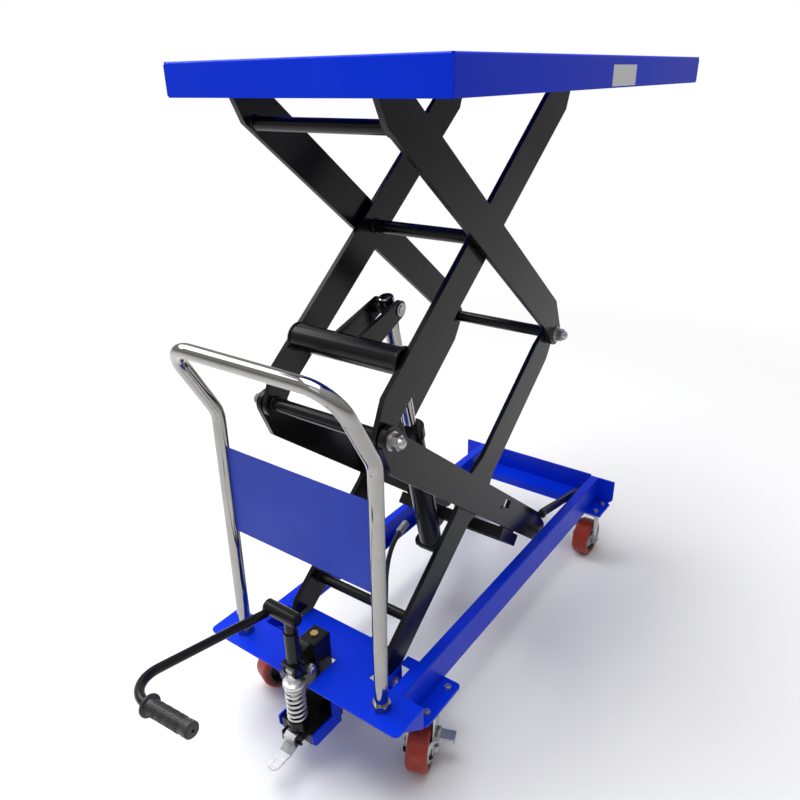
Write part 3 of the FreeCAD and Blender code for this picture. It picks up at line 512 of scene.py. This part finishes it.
springSizes = {"wire": 0.0047, "deadTurns": 0.75, "activeTurns": 5.8, "stepsPerTurn": 28, "sides": 12}


def makeSpring():
    # closed at both ends, open between; the plunger's stroke presses it down to its foot
    low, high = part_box("pump_return_spring")
    centre = (low + high) / 2
    wire, dead, active = (springSizes[key] for key in ("wire", "deadTurns", "activeTurns"))
    radius = (high.x - low.x) / 2 - wire / 2
    height = cupSizes["foot"] - low.z
    rise = height - wire - 2 * dead * wire              # left for the open turns
    work = bmesh.new()
    start = Matrix.Translation((centre.x + radius, centre.y, low.z + wire / 2))
    bmesh.ops.create_circle(work, segments=springSizes["sides"], radius=wire / 2,
                            matrix=start @ Matrix.Rotation(math.radians(90), 4, "X"))
    geom = work.verts[:] + work.edges[:]
    for turns, climb in ((dead, dead * wire), (active, rise), (dead, dead * wire)):
        steps = round(turns * springSizes["stepsPerTurn"])
        made = bmesh.ops.spin(work, geom=geom, cent=centre, axis=(0, 0, 1), angle=turns * math.tau,
                              dvec=(0, 0, climb / steps), steps=steps)
        geom = made["geom_last"]
    bmesh.ops.holes_fill(work, edges=[edge for edge in work.edges if edge.is_boundary])
    spring = finished(tidied(work), "pumpSpring", "base_frame", "steel", smoothAngle=60.0,
                      finish=springSteel)
    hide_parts("pump_return_spring")
    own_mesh(spring)


makeSpring()

rollerSizes = {"radius": 0.009, "lift": 0.0003, "offset": 0.001, "margin": 0.0002,
               "halfWidth": 0.0092, "pin": 0.0042, "cheekOut": 0.0162}
rollerLine = Vector((middleOf("pump_piston").x - rollerSizes["offset"], 0.0,
                     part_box("pump_piston")[1].z + rollerSizes["radius"] + rollerSizes["lift"]))


def onRoller(point):
    # the lever's pressing roller and the two ends of its pin
    away = math.hypot(point.x - rollerLine.x, point.z - rollerLine.z)
    rim = rollerSizes["radius"] + rollerSizes["margin"]
    return (abs(point.y) < rollerSizes["halfWidth"] and away < rim
            or abs(point.y) > rollerSizes["cheekOut"] and away < rollerSizes["pin"])


paintPart(bpy.data.objects["pumpPedalLever"].data, finishes["chrome"], onRoller)

blockScrews = {"foot": 0.123 - floorDrop, "steps": 12,
               # shares of the bracket's half width and of its length
               "places": ((0.45, 0.192), (0.738, 0.36)),
               "outline": ((0.0, 0.0), (0.004, 0.0), (0.004, 0.0028), (0.0032, 0.0036),
                           (0.0018, 0.0036), (0.0018, 0.0022), (0.0, 0.0022))}


def makeBlockScrews():
    # small dark screws on the pump's foot
    low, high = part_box("pump_bracket")
    work = bmesh.new()
    for across, along in blockScrews["places"]:
        for side in (1, -1):
            place = Vector((low.x + (high.x - low.x) * along, side * high.y * across,
                            blockScrews["foot"]))
            turned(work, blockScrews["outline"], place, Vector((0, 0, 1)), blockScrews["steps"])
    finished(tidied(work), "blockScrews", "base_frame", "black_paint")


makeBlockScrews()
print("pump fitted")


# pedal grip: a ribbed rubber sleeve with a flange at the bend

gripSizes = {"bend": (-416, 67, 420), "tip": (-411, -91, 432), "length": 0.095, "pastTip": 0.004,
             "radius": 0.0122, "rib": 0.0009, "ribInset": 0.0003, "sectors": 40,
             "bands": ((0.014, 0.026), (0.03, 0.042), (0.046, 0.058), (0.062, 0.074)),
             # outlines: radius, and height above the flange's face
             "flange": ((0.0, 0.0), (0.0082, 0.0), (0.017, 0.0), (0.018, 0.001), (0.018, 0.004),
                        (0.017, 0.005), (0.0137, 0.0055), (0.0122, 0.008)),
             "cap": ((0.0122, 0.081), (0.013, 0.0825), (0.013, 0.0925), (0.0112, 0.0946),
                     (0.0092, 0.095), (0.0025, 0.095), (0.0025, 0.091), (0.0, 0.091))}


def makeGrip():
    # turned about the lever's last stretch, every other face of its bands raised as a pad
    tip = placed(gripSizes["tip"])
    axis = (tip - placed(gripSizes["bend"])).normalized()
    start = tip - axis * (gripSizes["length"] - gripSizes["pastTip"])
    outline = list(gripSizes["flange"])
    for band in gripSizes["bands"]:
        outline += [(gripSizes["radius"], height) for height in band]
    outline += gripSizes["cap"]
    work = bmesh.new()
    turned(work, outline, start, axis, gripSizes["sectors"])
    tidied(work)
    side = axis.orthogonal().normalized()
    other = axis.cross(side)
    pads = []
    for face in work.faces:
        middle = face.calc_center_median() - start
        height = middle.dot(axis)
        turn = math.atan2(middle.dot(other), middle.dot(side)) / math.tau * gripSizes["sectors"]
        inBand = any(low < height < high for low, high in gripSizes["bands"])
        if inBand and math.floor(turn) % 2 == 0:
            pads.append(face)
    bmesh.ops.inset_individual(work, faces=pads, thickness=gripSizes["ribInset"],
                               depth=gripSizes["rib"])
    grip = finished(work, "pedalGrip", "pump_pedal", "black_rubber", smoothAngle=40.0,
                    finish=gripRubber)
    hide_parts("pump_pedal_grip")


makeGrip()
print("grip made")


# casters: pale rims, dark cores and dust covers

coverSizes = {"radius": 0.027, "bore": 0.0163, "lip": 0.003, "dish": 0.003, "gap": 0.0035,
              "thick": 0.0008}
hubSizes = {"boss": 0.0165, "rim": 0.0065}


def makeDustCovers(hub):
    low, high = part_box(hub)
    centre = (low + high) / 2
    rim = (high.x - low.x) / 2 - hubSizes["rim"]

    def away(point):
        return math.hypot(point.x - centre.x, point.z - centre.z)

    mesh = frame["nodes"][hub].data
    paintPart(mesh, coreNylon, lambda point: hubSizes["boss"] < away(point) < rim)
    paintPart(mesh, paleNylon, lambda point: away(point) >= rim)
    radius, bore, lip, dish, thick = (coverSizes[key] for key in ("radius", "bore", "lip", "dish",
                                                                  "thick"))
    outline = [(bore, 0.0), (radius - lip, -dish / 2), (radius, -dish), (radius, -dish - thick),
               (radius - lip, -dish / 2 - thick), (bore, -thick)]
    work = bmesh.new()
    for side in (1, -1):
        out = Vector((0, side, 0))
        base = centre + out * ((high.y - low.y) / 2 - coverSizes["gap"])
        turned(work, outline, base, out, closed=True)
    name = pieceName(hub).replace("Hub", "Covers")
    finished(tidied(work), name, bodyOf[hub], "zinc")


for node in bodyOf:
    if node.endswith("_wheel_hub"):
        makeDustCovers(node)
print("wheels covered")


# weld beads where the cross tubes meet the arms

weldSizes = {"bead": 0.0026, "sides": 8, "sunk": 0.25, "ripples": 26, "steps": 78, "depth": 0.0005}


def weldRing(work, centre, radius, inward):
    # a rippled bead in the corner between a tube and a plate
    bead = weldSizes["bead"]
    before = set(work.verts)
    start = Matrix.Translation(centre + Vector((radius, inward * bead * weldSizes["sunk"], 0)))
    loop = bmesh.ops.create_circle(work, segments=weldSizes["sides"], radius=bead, matrix=start)["verts"]
    edges = list({edge for vert in loop for edge in vert.link_edges})
    bmesh.ops.spin(work, geom=loop + edges, cent=centre, axis=(0, 1, 0), angle=math.tau,
                   steps=weldSizes["steps"], use_merge=True)
    for vert in set(work.verts) - before:
        turn = math.atan2(vert.co.z - centre.z, vert.co.x - centre.x)
        out = Vector((math.cos(turn), 0, math.sin(turn)))
        vert.co += out * weldSizes["depth"] * math.sin(turn * weldSizes["ripples"])


def makeWelds(node):
    low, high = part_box(node)
    work = bmesh.new()
    for end, inward in ((low.y, 1), (high.y, -1)):
        for centre, radius in rimsAt(node, end):
            weldRing(work, centre, radius, inward)
    finished(tidied(work), pieceName(node) + "Welds", bodyOf[node], "black_paint", smoothAngle=60.0)


for node in ("torsion_tube", "upper_inner_cross_tubes", "upper_outer_cross_tube",
             "lower_inner_cross_tubes"):
    makeWelds(node)

seamSizes = {"radius": 0.0016, "sides": 12, "inset": 0.0012, "foot": 0.002, "short": 0.0056,
             "rings": 24, "taper": 0.0006, "swell": 0.0002, "wave": 2.4}


def makeCornerSeams():
    # welded seams down the platform's four corners
    low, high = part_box("platform_top")
    inset, rings, taper = (seamSizes[key] for key in ("inset", "rings", "taper"))
    height = high.z - low.z - seamSizes["short"]
    outline = [(0.0, 0.0)]
    for step in range(rings + 1):
        swell = seamSizes["swell"] * math.sin(step * seamSizes["wave"])
        outline.append((seamSizes["radius"] + swell, taper + (height - 2 * taper) * step / rings))
    outline.append((0.0, height))
    work = bmesh.new()
    for x in (low.x + inset, high.x - inset):
        for y in (low.y + inset, high.y - inset):
            foot = Vector((x, y, low.z + seamSizes["foot"]))
            turned(work, outline, foot, Vector((0, 0, 1)), seamSizes["sides"])
    finished(tidied(work), "cornerSeams", "platform", "blue_paint", smoothAngle=60.0)


makeCornerSeams()
print("welds laid")


# a blank label on the platform's side

labelSizes = {"along": 0.537, "drop": 0.006, "width": 0.112, "height": 0.033, "corner": 0.002,
              "thick": 0.0003}


def makeLabel():
    low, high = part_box("platform_top")
    middle = Vector((pivotLine.x + labelSizes["along"], low.y,
                     (low.z + high.z) / 2 - labelSizes["drop"]))
    work = bmesh.new()
    size = Matrix.Diagonal((labelSizes["width"], labelSizes["thick"] * 2, labelSizes["height"], 1.0))
    bmesh.ops.create_cube(work, size=1.0, matrix=Matrix.Translation(middle) @ size)
    uprights = [edge for edge in work.edges
                if abs(edge.verts[0].co.y - edge.verts[1].co.y) > labelSizes["thick"]]
    bevelled(work, uprights, labelSizes["corner"])
    finished(work, "blankLabel", "platform", "zinc", finish=blankLabel)


makeLabel()
print("label fixed")


# floor, light and camera

floorSizes = {"radius": 9.0, "sides": 96, "paint": tone(0.86, 0.86, 0.86), "fadeFrom": 1.2,
              "fadeTo": 3.0}
roomLight = {"strength": 0.75, "mirrored": 0.3,
             "stops": [(0.0, tone(0.4, 0.4, 0.4)), (0.52, tone(0.1, 0.1, 0.105)),
                       (0.75, tone(0.4, 0.4, 0.41)), (1.0, tone(0.9, 0.9, 0.9))]}
# lamps: place, target, size and power
lamps = {"overhead": ((-0.35, 0.5, 4.0), (-0.15, 0.0, 0.3), (3.0, 2.4), 160.0),
         "front": ((-3.2, -0.4, 3.0), (-0.3, 0.0, 0.4), (1.6, 1.6), 7.0),
         "fill": ((2.6, -2.4, 2.0), (0.0, 0.0, 0.6), (2.0, 2.0), 2.0),
         "back": ((-0.6, 3.2, 3.0), (-0.4, 0.0, 0.3), (2.6, 2.0), 62.0)}
stand = {"place": (-0.803, -0.7414, 1.2286), "yaw": 0.62948, "pitch": 0.45031, "roll": -0.01859,
         "lens": 32.126, "shift": 0.0247}


def whiteShare(f):
    # the share of plain white that a ray meets: all from the camera or through glass, part by gloss
    seen, mirrored, passed = [f.node("ShaderNodeLightPath", output="Is " + ray + " Ray")
                              for ray in ("Camera", "Glossy", "Transmission")]
    return seen + mirrored * roomLight["mirrored"] + passed


def makeFloor():
    work = bmesh.new()
    bmesh.ops.create_circle(work, cap_ends=True, segments=floorSizes["sides"],
                            radius=floorSizes["radius"])
    mesh = bpy.data.meshes.new("floor")
    work.to_mesh(mesh)
    work.free()
    floor = bpy.data.objects.new("floor", mesh)
    bpy.context.scene.collection.objects.link(floor)
    f = Finish("paleFloor")
    reach = f.node("ShaderNodeVectorMath", {"operation": "LENGTH"}, {0: f.place()}, "Value")
    fade = f.ramp(reach, floorSizes["fadeFrom"], floorSizes["fadeTo"]) * whiteShare(f)
    plain = f.node("ShaderNodeBsdfDiffuse", values={"Color": floorSizes["paint"]})
    glow = f.node("ShaderNodeEmission", values={"Color": tone(1.0, 1.0, 1.0)})
    faded = f.node("ShaderNodeMixShader", values={0: fade, 1: plain, 2: glow})
    f.node("ShaderNodeOutputMaterial", values={"Surface": faded})
    mesh.materials.append(f.owner)


def makeWorld():
    world = bpy.data.worlds.new("studio")
    bpy.context.scene.world = world
    f = Finish("studio", world)
    facing = f.node("ShaderNodeTexCoord", output="Generated")
    height = f.node("ShaderNodeSeparateXYZ", values={0: facing}, output="Z")
    room = f.node("ShaderNodeValToRGB", {"stops": roomLight["stops"]}, {0: height * 0.5 + 0.5})
    light = f.node("ShaderNodeBackground", values={"Color": room, "Strength": roomLight["strength"]})
    plain = f.node("ShaderNodeBackground", values={"Color": tone(1.0, 1.0, 1.0), "Strength": 1.0})
    shown = f.node("ShaderNodeMixShader", values={0: whiteShare(f), 1: light, 2: plain})
    f.node("ShaderNodeOutputWorld", values={"Surface": shown})


def addLamp(name, place, target, size, power):
    lamp = bpy.data.lights.new(name, "AREA")
    lamp.shape = "RECTANGLE"
    lamp.size, lamp.size_y = size
    lamp.energy = power
    holder = bpy.data.objects.new(name, lamp)
    bpy.context.scene.collection.objects.link(holder)
    holder.location = place
    holder.rotation_euler = (Vector(target) - Vector(place)).to_track_quat("-Z", "Y").to_euler()


def makeCamera():
    # the stand's place is measured from the handle-end pivots, its angles are in radians
    heading, dip, tilt = stand["yaw"], stand["pitch"], stand["roll"]
    look = Vector((math.cos(heading) * math.cos(dip), math.sin(heading) * math.cos(dip), -math.sin(dip)))
    right = Vector((math.sin(heading), -math.cos(heading), 0.0))
    up = right.cross(look)
    across = right * math.cos(tilt) + up * math.sin(tilt)
    upward = up * math.cos(tilt) - right * math.sin(tilt)
    lens = bpy.data.cameras.new("camera")
    lens.lens = stand["lens"]
    lens.sensor_width = 36.0
    lens.shift_y = stand["shift"]
    lens.clip_end = 50.0
    camera = bpy.data.objects.new("camera", lens)
    bpy.context.scene.collection.objects.link(camera)
    turn = Matrix((across, upward, -look)).transposed().to_4x4()
    place = Vector(stand["place"]) + Vector((pivotLine.x, 0.0, 0.0))
    camera.matrix_world = Matrix.Translation(place) @ turn
    bpy.context.scene.camera = camera


makeFloor()
makeWorld()
for name, lamp in lamps.items():
    addLamp(name, *lamp)
makeCamera()
bpy.context.scene.view_settings.view_transform = "Standard"
print("stage set")
